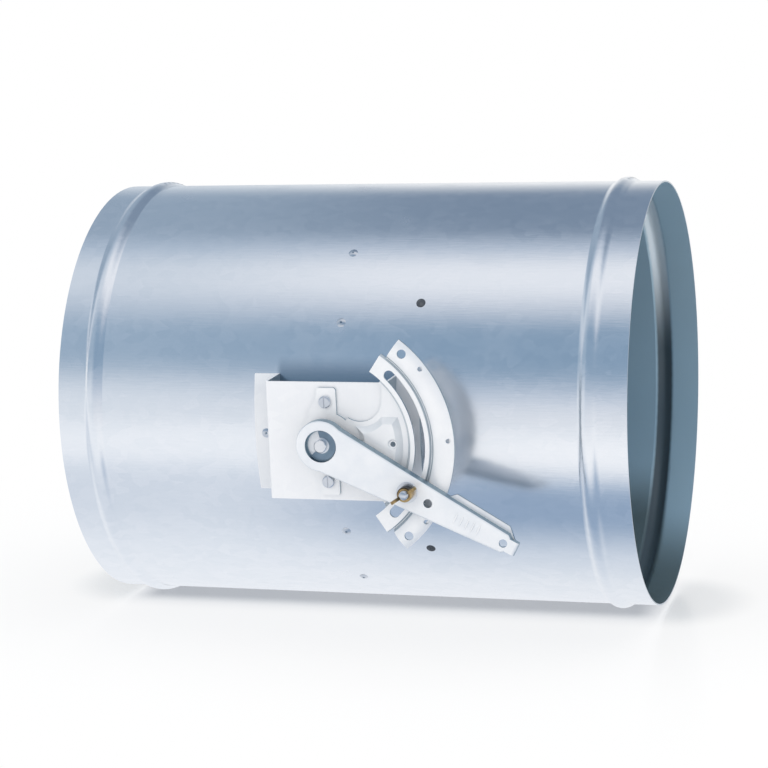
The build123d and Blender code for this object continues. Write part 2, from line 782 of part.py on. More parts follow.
# ---------------------------------------------------------------- write the nodes
fixed_nodes = {
    "casing_shell": casing_shell(),
    "stand_off_bracket": stand_off_bracket(),
    "bracket_rivets": bracket_rivets(),
    "quadrant_plate": quadrant_plate(),
    "quadrant_screws": quadrant_screws(),
    "quadrant_nuts": quadrant_nuts(),
    "bracket_bush": bracket_bush(),
    "front_bush": casing_bush(1),
    "rear_bush": casing_bush(-1),
    "rear_cap": rear_cap(),
    "upper_blade_stop": blade_stop(upper_leg_face, 1),
    "lower_blade_stop": blade_stop(lower_leg_face, -1),
    "stop_rivets": stop_rivets(),
    "casing_plugs": casing_plugs(),
}
# Built with the blade open, flat along the duct, then turned to the resting angle.
blade_nodes = {
    "blade_disc": blade_disc(),
    "blade_saddles": blade_saddles(),
    "blade_bolts": blade_bolts(),
    "blade_nuts": blade_nuts(),
}
# Built pointing along the duct, then turned to the lever's resting direction.
lever_nodes = {
    "shaft": shaft(),
    "control_lever": control_lever(),
    "shaft_collar": shaft_collar(),
    "shaft_clip": shaft_clip(),
    "lock_bolt": lock_bolt(),
    "lock_washer": lock_washer(),
    "wing_nut": wing_nut(),
}
blade_rest = lever_rest - slot_half_angle

nodes = dict(fixed_nodes)
nodes.update({name: swing(shape, blade_rest) for name, shape in blade_nodes.items()})
nodes.update({name: swing(shape, lever_rest) for name, shape in lever_nodes.items()})
for name, shape in nodes.items():
    export_step(shape, f"parts/{name}.step")
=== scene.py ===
# %% [markdown]
# A volume control damper, dressed for a studio picture. The damper is a short
# length of round steel duct with a disc blade inside it, and a lever on a
# slotted quadrant that turns the blade from outside. The solids come in as a
# fixed frame, so this lesson never moves or reshapes them. It gives them their
# finishes, adds the small forms that solids leave out, and lights the set.
#
# Everything is in metres. The duct runs along +X, +Z is up, and the lever is on
# the -Y side.

# %% Load the solids
import math
import bpy
import bmesh
from mathutils import Matrix, Vector
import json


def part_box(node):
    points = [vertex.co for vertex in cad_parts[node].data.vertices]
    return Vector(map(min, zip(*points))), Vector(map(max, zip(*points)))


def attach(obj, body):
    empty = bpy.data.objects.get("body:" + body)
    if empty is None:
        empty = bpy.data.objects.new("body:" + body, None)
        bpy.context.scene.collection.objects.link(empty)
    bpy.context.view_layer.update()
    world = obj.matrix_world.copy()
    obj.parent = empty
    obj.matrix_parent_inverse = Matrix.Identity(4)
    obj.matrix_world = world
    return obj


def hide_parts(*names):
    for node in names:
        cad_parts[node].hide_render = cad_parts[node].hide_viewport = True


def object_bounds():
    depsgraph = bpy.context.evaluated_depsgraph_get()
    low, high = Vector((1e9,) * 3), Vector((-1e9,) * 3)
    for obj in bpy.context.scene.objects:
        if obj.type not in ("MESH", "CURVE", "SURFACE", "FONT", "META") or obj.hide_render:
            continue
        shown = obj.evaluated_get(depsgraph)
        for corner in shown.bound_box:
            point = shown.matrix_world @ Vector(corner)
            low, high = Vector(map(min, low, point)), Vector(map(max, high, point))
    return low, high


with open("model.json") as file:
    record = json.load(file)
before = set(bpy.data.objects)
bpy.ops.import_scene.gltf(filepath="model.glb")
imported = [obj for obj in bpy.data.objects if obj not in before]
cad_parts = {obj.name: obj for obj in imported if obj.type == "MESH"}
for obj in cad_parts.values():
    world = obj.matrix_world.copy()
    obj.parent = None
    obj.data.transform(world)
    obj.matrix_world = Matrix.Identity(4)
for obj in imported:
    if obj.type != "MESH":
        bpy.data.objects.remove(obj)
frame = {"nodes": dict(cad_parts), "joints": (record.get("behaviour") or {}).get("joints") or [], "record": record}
solid_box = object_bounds()
nodes = frame["nodes"]
print("solids:", len(nodes), "box:", [[round(c, 4) for c in corner] for corner in solid_box])

# %% [markdown]
# Everything that is added later hangs on a few places, and all of them can be
# read from the solids' boxes, the joints and the mounts: the shaft's station
# along the duct, the direction of the lever, and the heights of the plates.

# %% Places
joints = {joint["name"]: joint for joint in frame["joints"]}
mounts = {mount["name"]: mount for mount in frame["record"]["mounts"]}
shaft_x = joints["blade_turn"]["pos_m"][0]
duct_radius = mounts["outlet_spigot"]["dims"]["r_mm"] / 1000
duct_length = mounts["outlet_spigot"]["pos_m"][0]
duct_middle = duct_length / 2
to_tip = Vector(mounts["lever_tip_hole"]["pos_m"]) - Vector((shaft_x, 0, 0))
along_lever = Vector((to_tip.x, 0, to_tip.z)).normalized()
lever_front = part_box("control_lever")[0][1]
print("shaft at", round(shaft_x, 4), "lever along", [round(c, 3) for c in along_lever])

# %% [markdown]
# The camera stands in front of the control side, a little towards the outlet
# and a little above the axis, so that the lever is seen nearly square on and
# the open end shows as a narrow ellipse. It could be aimed with a constraint,
# but a rotation written as three directions is exact and leaves nothing live.

# %% Camera
def looking(name, place, forward, up, lens):
    """Adds a camera at a place, with its view and its upright given as directions."""
    forward = Vector(forward).normalized()
    right = forward.cross(Vector(up)).normalized()
    upright = right.cross(forward)
    data = bpy.data.cameras.new(name)
    data.lens = lens
    data.sensor_width = 36
    data.clip_end = 60
    camera = bpy.data.objects.new(name, data)
    bpy.context.scene.collection.objects.link(camera)
    turn = Matrix((right, upright, -forward)).transposed()
    camera.matrix_world = Matrix.Translation(place) @ turn.to_4x4()
    return camera


yaw = 0.287278          # the camera turns this far towards the inlet, in radians
pitch = 0.040743        # it looks down by this much
roll = 0.0021136        # and it leans to one side by this much
duct_turn = 0.162316    # the duct lies turned about its own axis by this much
lens = 109.47           # focal length in millimetres: long, so that both ends look alike
from_middle = (0.47696, -1.64219, 0.07331)      # the camera's place in the level room


def in_duct_frame(direction):
    """Turns a direction of the level room into the duct's own frame."""
    x, y, z = direction
    return Vector((x, y * math.cos(duct_turn) + z * math.sin(duct_turn),
                   z * math.cos(duct_turn) - y * math.sin(duct_turn)))


ahead = Vector((-math.sin(yaw) * math.cos(pitch), math.cos(yaw) * math.cos(pitch),
                -math.sin(pitch)))
sideways = Vector((math.cos(yaw), math.sin(yaw), 0))
upward = sideways.cross(ahead)
tilted = upward * math.cos(roll) - sideways * math.sin(roll)
stand = in_duct_frame(from_middle) + Vector((duct_middle, 0, 0))
bpy.context.scene.camera = looking("camera", stand, in_duct_frame(ahead),
                                   in_duct_frame(tilted), lens)
bpy.context.scene.view_settings.view_transform = "Standard"
print("camera at", [round(c, 4) for c in stand])

# %% [markdown]
# Shader maths reads best as ordinary sums. A Value wraps one output socket, and
# each operator on it adds a Math node. Nodes could be added one by one instead,
# but then a line of arithmetic would take a dozen lines of wiring.

# %% Sums on a surface
class Value:
    """A number that changes over a surface: one output socket of a finish."""

    def __init__(self, finish, socket):
        self.finish = finish
        self.socket = socket

    def sum(self, operation, *terms):
        return self.finish.node("ShaderNodeMath", {"operation": operation},
                                dict(enumerate(terms)))

    def __add__(self, other):
        return self.sum("ADD", self, other)

    def __radd__(self, other):
        return self.sum("ADD", other, self)

    def __sub__(self, other):
        return self.sum("SUBTRACT", self, other)

    def __rsub__(self, other):
        return self.sum("SUBTRACT", other, self)

    def __mul__(self, other):
        return self.sum("MULTIPLY", self, other)

    def __rmul__(self, other):
        return self.sum("MULTIPLY", other, self)

    def __truediv__(self, other):
        return self.sum("DIVIDE", self, other)

    def __abs__(self):
        return self.sum("ABSOLUTE", self)

    def power(self, other):
        return self.sum("POWER", self, other)

    def most(self, other):
        return self.sum("MAXIMUM", self, other)

    def fade(self, low, high, to_low=0.0, to_high=1.0):
        """Smoothly runs from to_low where this is low to to_high where it is high."""
        return self.finish.node("ShaderNodeMapRange", {"interpolation_type": "SMOOTHSTEP"},
                                {"Value": self, "From Min": low, "From Max": high,
                                 "To Min": to_low, "To Max": to_high})


print("besides + - * / a value has:", [name for name in vars(Value) if name.isalpha()])

# %% [markdown]
# A Finish is one material with one Principled shader, which suits every metal,
# plastic and rubber here. Its node method makes any node: its settings first,
# then the values or links of its inputs. The patterns read the object's own
# coordinates, so they stay on the piece when the piece moves.

# %% Finishes
class Finish:
    """A material whose surface is one Principled shader."""

    def __init__(self, name, **constants):
        self.material = bpy.data.materials.new(name)
        self.material.use_nodes = True
        self.tree = self.material.node_tree
        self.shader = self.tree.nodes["Principled BSDF"]
        for socket, value in constants.items():
            self.shader.inputs[socket.replace("_", " ")].default_value = value
        self.place = self.node("ShaderNodeTexCoord", output="Object")

    def node(self, kind, settings=None, inputs=None, output=0):
        """Adds a node: settings first, then each input's value or link."""
        made = self.tree.nodes.new(kind)
        for setting, value in (settings or {}).items():
            if setting == "stops":
                ramp = made.color_ramp
                while len(ramp.elements) < len(value):
                    ramp.elements.new(1.0)
                for element, (position, colour) in zip(ramp.elements, value):
                    element.position = position
                    element.color = (*colour, 1.0)
            else:
                setattr(made, setting, value)
        for socket, value in (inputs or {}).items():
            if isinstance(value, Value):
                self.tree.links.new(value.socket, made.inputs[socket])
            else:
                made.inputs[socket].default_value = value
        return Value(self, made.outputs[output])

    def noise(self, scale, detail, stretch=(1, 1, 1), seed=0.0):
        """Noise on the piece's own coordinates, stretched along an axis by a Mapping node."""
        placed = self.node("ShaderNodeMapping", None,
                           {"Vector": self.place, "Scale": stretch,
                            "Location": (seed, seed * 0.7, -seed)})
        return self.node("ShaderNodeTexNoise", None,
                         {"Vector": placed, "Scale": scale, "Detail": detail},
                         output="Fac")

    def axes(self):
        """The place on the surface as three Values."""
        split = self.node("ShaderNodeSeparateXYZ", None, {"Vector": self.place}).socket.node
        return [Value(self, split.outputs[axis]) for axis in range(3)]

    def facing(self, direction):
        """How squarely the surface faces a direction: 1 towards it, -1 away from it."""
        normal = self.node("ShaderNodeTexCoord", output="Normal")
        return self.node("ShaderNodeVectorMath", {"operation": "DOT_PRODUCT"},
                         {0: normal, 1: direction}, output="Value")

    def blend(self, mask, low, high):
        """Mixes two colours or directions: low where the mask is 0, high where it is 1."""
        made = self.tree.nodes.new("ShaderNodeMix")
        made.data_type = "RGBA"
        for socket, value in ((0, mask), (6, low), (7, high)):
            if isinstance(value, Value):
                self.tree.links.new(value.socket, made.inputs[socket])
            elif socket:
                made.inputs[socket].default_value = (*value, 1.0)
            else:
                made.inputs[socket].default_value = value
        return Value(self, made.outputs[2])

    def feed(self, **sockets):
        """Links values to the shader's sockets, such as Base_Color."""
        for socket, value in sockets.items():
            self.tree.links.new(value.socket, self.shader.inputs[socket.replace("_", " ")])

    def relief(self, height, depth, strength, smooth=None):
        """Feeds a height, as a share of depth in metres, to the shader's normal.

        Smooth is the normal that the height bends, where it isn't the mesh's own."""
        bump = {"Height": height, "Distance": depth, "Strength": strength}
        if smooth:
            bump["Normal"] = smooth
        self.feed(Normal=self.node("ShaderNodeBump", None, bump))


print("a finish has:", [name for name in vars(Finish) if name.isalpha()])

# %% [markdown]
# Galvanised sheet is steel dipped in molten zinc. The zinc freezes in flat
# crystals, the spangle, that catch the light a little differently from their
# neighbours. Today's sheet is skin-passed, so the crystals are faint and the
# rollers leave fine lines. A Voronoi texture gives the crystals: each cell has
# one random grey, which shifts the colour and the gloss by a few percent. A
# low, wide noise bends the reflections, because thin sheet is never truly flat.
# Faces that point along the duct are given a darker colour, and so is the side
# that faces away from the light: both are painted shade.

# %% Galvanised sheet
# painted shade on faces that point along the duct, such as its rim and the bracket's sides
endways_shade = (0.42, 0.49, 0.55)
# colour of the painted shadow under the bracket's upper edge
shadow_grey = (0.29, 0.38, 0.46)


def galvanised(name, bright, dull, lines, shaded, inner, gloss=0.2, metal=1.0, waves=0.5,
               end_shade=endways_shade, dust_and_shadow=None, rounded=None, inner_metal=None):
    """A zinc-dipped sheet.

    Lines stretch its rolling marks. Shaded says how squarely a place faces away
    from the light, and there the sheet takes its sixth argument, a painted shade.
    The dust and shadow mask gives a painted shadow, the end colour is painted shade
    on faces along the duct, and rounded gives an exact normal. Waves is how much
    the sheet ripples."""
    sheet = Finish(name, Metallic=metal)
    crystal_at = sheet.node("ShaderNodeMapping", None,
                            {"Vector": sheet.place, "Scale": (0.8, 1.0, 1.0)})
    crystal = sheet.node("ShaderNodeTexVoronoi", {"feature": "F1"},
                         {"Vector": crystal_at, "Scale": 150.0, "Randomness": 1.0},
                         output="Color")
    crystal = sheet.node("ShaderNodeSeparateColor", None, {"Color": crystal})
    clouds = sheet.noise(7.0, 3.0, seed=2.0)
    smudge = sheet.noise(26.0, 4.0, seed=5.0).fade(0.54, 0.74)
    line = sheet.noise(60.0, 3.0, stretch=lines, seed=1.0)
    shade = clouds * 0.5 + crystal * 0.24 + line * 0.26
    outside = sheet.blend(shade.fade(0.2, 0.8), dull, bright)
    # painted shade on the side that faces away from the light
    away = shaded(sheet).fade(0.1, 0.5)
    # painted shade on faces that point along the duct
    endways = abs(sheet.facing((1, 0, 0))).fade(0.9, 0.98)
    outside = sheet.blend(endways, outside, end_shade)
    # a painted shadow, where its mask is given
    if dust_and_shadow:
        outside = sheet.blend(dust_and_shadow(sheet), outside, shadow_grey)
    if callable(inner):
        inner = inner(sheet)
        sheet.feed(Metallic=metal - (metal - inner_metal) * away)
    sheet.feed(Base_Color=sheet.blend(away, outside, inner),
               Roughness=gloss - 0.03 + 0.035 * crystal + 0.06 * clouds + 0.05 * smudge
               + 0.14 * away)
    wave = sheet.noise(4.0, 1.0, seed=8.0)
    sheet.relief(wave * 0.96 + line * 0.03 + crystal * 0.01, 0.002, waves,
                 rounded(sheet) if rounded else None)
    return sheet.material


def towards_back(sheet):
    """How squarely the surface faces away from the lever side."""
    return sheet.facing((0, 1, 0))


# the sixth argument is painted shade on the side away from the light: slight on the blade, dark on the bracket,
# whose end colour is dark painted shade too
blade_sheet = galvanised("galvanised_blade_sheet", (0.80, 0.83, 0.86), (0.70, 0.74, 0.78),
                         (12.0, 12.0, 1.0), towards_back, (0.72, 0.76, 0.80), 0.3)
bracket_sheet = galvanised("galvanised_bracket_sheet", (0.94, 0.945, 0.955),
                           (0.89, 0.90, 0.92), (14.0, 1.0, 1.0), towards_back,
                           (0.20, 0.27, 0.33), 0.34, 0.35, 0.2, end_shade=(0.26, 0.33, 0.39))
print("finishes:", [m.name for m in (blade_sheet, bracket_sheet)])

# %% [markdown]
# The duct is rolled round, and a polished cylinder gives away every flaw: its
# mesh is made of flat strips, and near a hole their corners lean a little, which
# shows as thin steps in the reflections. A finer mesh would only make them
# smaller. The wall is a true cylinder, though, so its normal is known exactly: it
# points straight out from the axis, or straight in on the inner side. The finish
# uses that on the wall and keeps the mesh's own normal on beads and flanges.

# %% Round wall of the duct
wall = 0.001            # thickness of the duct's sheet


def outward(sheet):
    """The direction straight out from the duct's axis."""
    spoke = sheet.node("ShaderNodeVectorMath", {"operation": "MULTIPLY"},
                       {0: sheet.place, 1: (0, 1, 1)}, output="Vector")
    return sheet.node("ShaderNodeVectorMath", {"operation": "NORMALIZE"}, {0: spoke},
                      output="Vector")


def towards_axis(sheet):
    """How squarely the surface faces the duct's axis."""
    return 0.0 - sheet.facing(outward(sheet))


def from_axis(sheet):
    """Distance from the duct's axis."""
    x, y, z = sheet.axes()
    return (y.power(2.0) + z.power(2.0)).power(0.5)


def truly_round(sheet):
    """The exact normal on both sides of the duct's wall, and the mesh's own elsewhere."""
    off_wall = abs(abs(from_axis(sheet) - (duct_radius - wall / 2)) - wall / 2)
    on_wall = 1.0 - off_wall.fade(0.0003, 0.0004)
    spoke = outward(sheet)
    side = sheet.node("ShaderNodeMath", {"operation": "SIGN"}, {0: sheet.facing(spoke)})
    spoke = sheet.node("ShaderNodeVectorMath", {"operation": "SCALE"},
                       {0: spoke, "Scale": side}, output="Vector")
    square_on = abs(sheet.facing(spoke)).fade(0.95, 0.97)
    own = sheet.node("ShaderNodeNewGeometry", output="Normal")
    return sheet.blend(on_wall * square_on, own, spoke)


print("wall from radius", round(duct_radius - wall, 4), "to", duct_radius)

# %% [markdown]
# Inside, the sheet's colour is darker, a painted shade for the little light that
# gets in, and darker still towards the bottom. The bead's groove is dark in its
# lower half and pale in its upper half: painted shade and a painted highlight. On
# the outside a painted shadow lies on the duct under the bracket's upper edge. All
# are masks made from the place on the surface: a painted texture would do too, but
# a rule is easier to move when the duct's sizes change.

# %% Painted shade, and the duct's finish
outlet = solid_box[1][0]
bead_zone = (outlet - 0.025, outlet - 0.016)    # where the body ends and the collar starts
# the inside's painted shade, darker along the bottom, and the groove's painted shade and painted highlight
inside_shade_grey = (0.36, 0.52, 0.635)
bottom_shade = (0.12, 0.17, 0.19)
bottom_shade_heights = (-0.118, -0.078)                   # heights between which the painted shade at the bottom fades out
groove_shade = (0.07, 0.10, 0.12)
groove_highlight = (0.74, 0.83, 0.89)
hat_half = 0.042        # half the width of the hat that the bracket's face makes
hat_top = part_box("stand_off_bracket")[1][2]


def inside_shade(sheet):
    """Painted shade inside, darker at the bottom and in the groove's low half; a painted highlight above."""
    x, y, z = sheet.axes()
    on_collar = x.fade(*bead_zone)
    bottom = 1.0 - (z + 0.03 * on_collar).fade(*bottom_shade_heights)
    groove = from_axis(sheet).fade(duct_radius - 0.0008, duct_radius + 0.0004)
    dull = sheet.blend(bottom, inside_shade_grey, bottom_shade)
    groove_colour = sheet.blend(z.fade(0.0, 0.09), groove_shade, groove_highlight)
    return sheet.blend(groove, dull, groove_colour)


def bracket_shadow(sheet):
    """A painted shadow on the duct under the bracket's upper edge."""
    x, y, z = sheet.axes()
    beside = (x - shaft_x).fade(-hat_half - 0.002, 0.003 - hat_half)
    beside = beside * (1.0 - (x - shaft_x).fade(hat_half + 0.008, hat_half + 0.016))
    above = 1.0 - z.fade(hat_top - 0.004, hat_top + 0.013)
    return beside * above * (0.0 - y).fade(0.10, 0.12) * z.fade(0.0, 0.01)


# the duct: painted shade inside, a painted shadow under the bracket, exact normals on the wall
duct_sheet = galvanised("galvanised_duct_sheet", (0.93, 0.95, 0.975), (0.86, 0.895, 0.93),
                        (1.0, 14.0, 14.0), towards_axis, inside_shade,
                        dust_and_shadow=bracket_shadow, rounded=truly_round, inner_metal=0.3)
print("finish:", duct_sheet.name, "with a painted shadow below", round(hat_top, 4))

# %% [markdown]
# The quadrant and the lever are pressed from sheet and then zinc plated, which
# leaves them brighter and whiter than the duct. Tumbling before plating rounds
# their edges and leaves fine scratches in every direction. Two crossed, very
# stretched noises give the scratches, and a soft noise gives the faint bloom
# that plating gathers. A mask of how squarely a face points forward gives the
# others, sheared edges and the lever's flange sides, a darker colour: painted shade.

# %% Bright zinc plate
def plated(name, colour, dull, gloss, scratches=0.5, bloom=0.6, metal=1.0, edge=None,
           painted_mask=None, painted_colour=None):
    """A plated piece. Edge is a painted shade for faces that don't point forward. The
    last two arguments are a mask of painted colour and the colour that it gives."""
    plate = Finish(name, Metallic=metal)
    across = plate.noise(900.0, 2.0, stretch=(1.0, 1.0, 0.04), seed=3.0)
    along = plate.noise(900.0, 2.0, stretch=(0.04, 1.0, 1.0), seed=4.0)
    scratch = across.most(along).fade(0.62, 0.8)
    cloud = plate.noise(70.0, 3.0, seed=6.0)
    grain = plate.noise(700.0, 2.0, seed=9.0)
    face = plate.blend(cloud.fade(0.3, 0.7) * bloom + grain * 0.3, colour, dull)
    # painted shade on faces that don't point forward
    if edge:
        flat = abs(plate.facing((0, -1, 0))).fade(0.25, 0.85)
        face = plate.blend(flat, edge, face)
        plate.feed(Metallic=1.0 - (1.0 - metal) * flat)
    if painted_mask:
        face = plate.blend(painted_mask(plate), face, painted_colour)
    plate.feed(Base_Color=face,
               Roughness=gloss + 0.1 * cloud + 0.08 * scratch * scratches)
    plate.relief(cloud * 0.6 + grain * 0.2 - scratch * 0.2 * scratches, 0.00012, 0.5)
    return plate.material


# colour of the painted shade on faces that don't point forward
side_shade = (0.34, 0.44, 0.50)
zinc_plate = plated("bright_zinc_plate", (0.945, 0.95, 0.958), (0.87, 0.885, 0.905), 0.3,
                    metal=0.35, edge=side_shade)
bright_bar = plated("bright_drawn_bar", (0.86, 0.87, 0.88), (0.74, 0.76, 0.79), 0.2)
plated_fixing = plated("plated_fixing", (0.78, 0.80, 0.83), (0.60, 0.64, 0.69), 0.24)
print("finishes:", [m.name for m in (zinc_plate, bright_bar, plated_fixing)])

# %% [markdown]
# Three pieces get painted marks. A dark ring in the corner of the cup that the
# lever has for a hub is painted shade. The spring ring is paler towards its inner
# edge, round the shaft. The brass wing nut is darker on its faces that look up and
# away: painted shade, broken up by noise. Each mark is one more mask on the plate's
# finish: two come from the distance to the shaft and the third from the way that
# the surface faces, so none of them needs a painted texture.

# %% Painted marks
cup_radius = 0.0108                     # of the lever's cupped hub
ring_inside = (0.0049, 0.0056)          # where the spring ring turns pale towards its inner edge
darkened_side = (-0.40, -0.30, 0.87)   # the way that the brass's painted shade faces: up and away


def from_shaft(plate):
    """Distance from the shaft's line."""
    x, y, z = plate.axes()
    return ((x - shaft_x).power(2.0) + z.power(2.0)).power(0.5)


def cup_shade(plate):
    """A dark ring of painted shade in the corner of the hub's cup."""
    x, y, z = plate.axes()
    out = from_shaft(plate)
    ring = out.fade(cup_radius - 0.0013, cup_radius - 0.0007)
    ring = ring * (1.0 - out.fade(cup_radius + 0.0001, cup_radius + 0.0004))
    return ring * (y - lever_front).fade(0.0002, 0.0008)


def pale_inner_edge(plate):
    """The spring ring is paler towards its inner edge, round the shaft."""
    return 1.0 - from_shaft(plate).fade(*ring_inside)


def brass_shade(plate):
    """Painted shade on the brass where it faces up and away, broken up by noise."""
    patches = plate.noise(300.0, 3.0, seed=11.0)
    return (plate.facing(darkened_side) + patches * 0.6 - 0.3).fade(0.05, 0.6)


# the lever's hub cup has a dark ring of painted shade in its corner
lever_plate = plated("bright_zinc_lever", (0.90, 0.915, 0.935), (0.80, 0.83, 0.87), 0.3,
                     metal=0.35, edge=side_shade, painted_mask=cup_shade,
                     painted_colour=(0.30, 0.40, 0.47))
# the spring ring is given a pale colour near its inner edge
spring_blue = plated("blued_clip_steel", (0.25, 0.34, 0.42), (0.15, 0.21, 0.28), 0.3,
                     painted_mask=pale_inner_edge, painted_colour=(0.80, 0.83, 0.86))
# the wing nut's dark colour is painted shade on its upward faces
turned_brass = plated("turned_brass", (0.70, 0.50, 0.24), (0.40, 0.27, 0.12), 0.26, 0.7, 0.8,
                      painted_mask=brass_shade, painted_colour=(0.06, 0.045, 0.03))
print("finishes:", [m.name for m in (lever_plate, spring_blue, turned_brass)])

# %% [markdown]
# The bushes are moulded nylon and the plugs dark rubber. Neither is a flat
# colour up close: moulding leaves a fine orange-peel skin, and rubber holds
# dust. Both are plain Principled surfaces with a small bump.

# %% Moulded parts
def moulded(name, colour, dust_and_shadow, gloss, peel):
    """A moulded piece: dusty is its colour under dust, and peel how fine its skin is."""
    skin = Finish(name, Metallic=0.0)
    dust = skin.noise(180.0, 3.0, seed=7.0)
    pebble = skin.noise(peel, 2.0, seed=2.5)
    skin.feed(Base_Color=skin.blend(dust.fade(0.45, 0.75), colour, dust_and_shadow),
              Roughness=gloss + 0.14 * dust)
    skin.relief(pebble, 0.0001, 0.4)
    return skin.material


nylon = moulded("natural_nylon", (0.80, 0.79, 0.73), (0.70, 0.68, 0.60), 0.42, 1500.0)
rubber = moulded("dark_plug_rubber", (0.055, 0.065, 0.08), (0.12, 0.13, 0.145), 0.55, 900.0)
print("finishes:", [m.name for m in (nylon, rubber)])

# %% [markdown]
# Each solid takes the finish of its real piece. The record says which pieces
# share a stock, and this table says which finish shows it. Assigning to the
# material slots leaves the meshes themselves as they came.

# %% Dress the solids
finish_of = {
    "casing_shell": duct_sheet, "upper_blade_stop": duct_sheet,
    "lower_blade_stop": duct_sheet, "stand_off_bracket": bracket_sheet,
    "blade_disc": blade_sheet, "quadrant_plate": zinc_plate, "control_lever": lever_plate,
    "blade_saddles": zinc_plate, "shaft": bright_bar, "shaft_collar": bright_bar,
    "shaft_clip": spring_blue, "bracket_rivets": plated_fixing,
    "quadrant_screws": plated_fixing, "quadrant_nuts": plated_fixing,
    "stop_rivets": plated_fixing, "blade_bolts": plated_fixing,
    "blade_nuts": plated_fixing, "lock_bolt": plated_fixing, "lock_washer": plated_fixing,
    "bracket_bush": nylon, "front_bush": nylon, "rear_bush": nylon, "rear_cap": nylon,
    "casing_plugs": rubber, "wing_nut": turned_brass,
}
for name, solid in nodes.items():
    solid.data.materials.clear()
    solid.data.materials.append(finish_of[name])
print("dressed", len(finish_of), "of", len(nodes), "solids")

# %% [markdown]
# A blind rivet is set by pulling a headed pin through it until the pin snaps,
# and the broken end stays in the rivet's head as a small dark plug. Ten rivets
# need the same plug, so a Geometry Nodes tree will set one coned pin on each
# point of a little cloud, turned to the direction that the point carries. The
# points come from the rivets themselves: each loose piece of their meshes gives
# its middle and its top.

# %% Where the rivets are
def islands(node):
    """Corners of each separate piece in a solid's mesh, from a merged copy."""
    copy = bmesh.new()
    copy.from_mesh(nodes[node].data)
    bmesh.ops.remove_doubles(copy, verts=copy.verts, dist=1e-6)
    left = set(copy.verts)
    found = []
    while left:
        group = [left.pop()]
        for vert in group:
            for edge in vert.link_edges:
                other = edge.other_vert(vert)
                if other in left:
                    left.remove(other)
                    group.append(other)
        found.append([vert.co.copy() for vert in group])
    copy.free()
    return found


def outward_places(node, sunk):
    """For each rivet of a node: a point just under the top of its head, and its direction."""
    places = []
    for corners in islands(node):
        centre = sum(corners, Vector()) / len(corners)
        spoke = Vector((0, centre.y, centre.z)).normalized()
        ends = [corner.dot(spoke) for corner in corners]
        foot = Vector((centre.x, 0, 0)) + spoke * (max(ends) - sunk)
        places.append((foot, spoke))
    return places


pin_sunk = 0.0007       # a pin's foot lies this far below the top of its rivet's head
rivet_places = [place for node in ("stop_rivets", "bracket_rivets")
                for place in outward_places(node, pin_sunk)]
print("rivets found:", len(rivet_places))

# %% [markdown]
# Every small repeat in this lesson follows one plan: a piece is shaped, set on
# each point of a cloud, turned, made real and given its material. So one function
# builds the plan as a tree, and two short functions say what the piece is and
# how it is turned. Copies made by a Python loop would look the same, but a tree
# has named inputs, and its sizes can be changed later by hand.

# %% A tree that sets one small piece on each point
def set_on_points(name, sizes, shape, turn):
    """A tree with the inputs Points, its own sizes and Material.

    Sizes are labels and kinds of input. Shape and turn add the nodes of the piece
    and of its rotation, and give their output sockets."""
    tree = bpy.data.node_groups.new(name, "GeometryNodeTree")
    for label, kind in {"Points": "Geometry", **sizes, "Material": "Material"}.items():
        tree.interface.new_socket(label, in_out="INPUT", socket_type="NodeSocket" + kind)
    tree.interface.new_socket("Pieces", in_out="OUTPUT", socket_type="NodeSocketGeometry")
    given = tree.nodes.new("NodeGroupInput").outputs
    each = tree.nodes.new("GeometryNodeInstanceOnPoints")
    real = tree.nodes.new("GeometryNodeRealizeInstances")
    dress = tree.nodes.new("GeometryNodeSetMaterial")
    out = tree.nodes.new("NodeGroupOutput")
    tree.links.new(given["Points"], each.inputs["Points"])
    tree.links.new(shape(tree, given), each.inputs["Instance"])
    tree.links.new(turn(tree, given), each.inputs["Rotation"])
    tree.links.new(each.outputs["Instances"], real.inputs["Geometry"])
    tree.links.new(real.outputs["Geometry"], dress.inputs["Geometry"])
    tree.links.new(given["Material"], dress.inputs["Material"])
    tree.links.new(dress.outputs["Geometry"], out.inputs["Pieces"])
    return tree


def grow(name, tree, places, values):
    """Runs a tree on a cloud of places and keeps the result as a plain mesh."""
    cloud = bpy.data.meshes.new(name + "_points")
    cloud.from_pydata([place for place, aim in places], [], [])
    carried = cloud.attributes.new("aim", "FLOAT_VECTOR", "POINT")
    carried.data.foreach_set("vector", [c for place, aim in places for c in aim])
    seed = bpy.data.objects.new(name + "_seed", cloud)
    bpy.context.scene.collection.objects.link(seed)
    run = seed.modifiers.new("grow", "NODES")
    run.node_group = tree
    for item in tree.interface.items_tree:
        if item.in_out == "INPUT" and item.name in values:
            run[item.identifier] = values[item.name]
    view = bpy.context.evaluated_depsgraph_get()
    mesh = bpy.data.meshes.new_from_object(seed.evaluated_get(view))
    mesh.name = name
    bpy.data.objects.remove(seed)
    piece = bpy.data.objects.new(name, mesh)
    bpy.context.scene.collection.objects.link(piece)
    return piece


print("helpers:", set_on_points.__name__, "and", grow.__name__)

# %% Rivet pins
def coned_pin(tree, given):
    """A short cone that stands on its foot."""
    cone = tree.nodes.new("GeometryNodeMeshCone")
    cone.inputs["Vertices"].default_value = 20
    for size, socket in (("Foot Radius", "Radius Bottom"), ("Top Radius", "Radius Top"),
                         ("Height", "Depth")):
        tree.links.new(given[size], cone.inputs[socket])
    return cone.outputs["Mesh"]


def along_aim(tree, given):
    """Turns a piece's upright to the direction that its point carries."""
    aim = tree.nodes.new("GeometryNodeInputNamedAttribute")
    aim.data_type = "FLOAT_VECTOR"
    aim.inputs["Name"].default_value = "aim"
    turn = tree.nodes.new("FunctionNodeAlignRotationToVector")
    turn.axis = "Z"
    tree.links.new(aim.outputs["Attribute"], turn.inputs["Vector"])
    return turn.outputs["Rotation"]


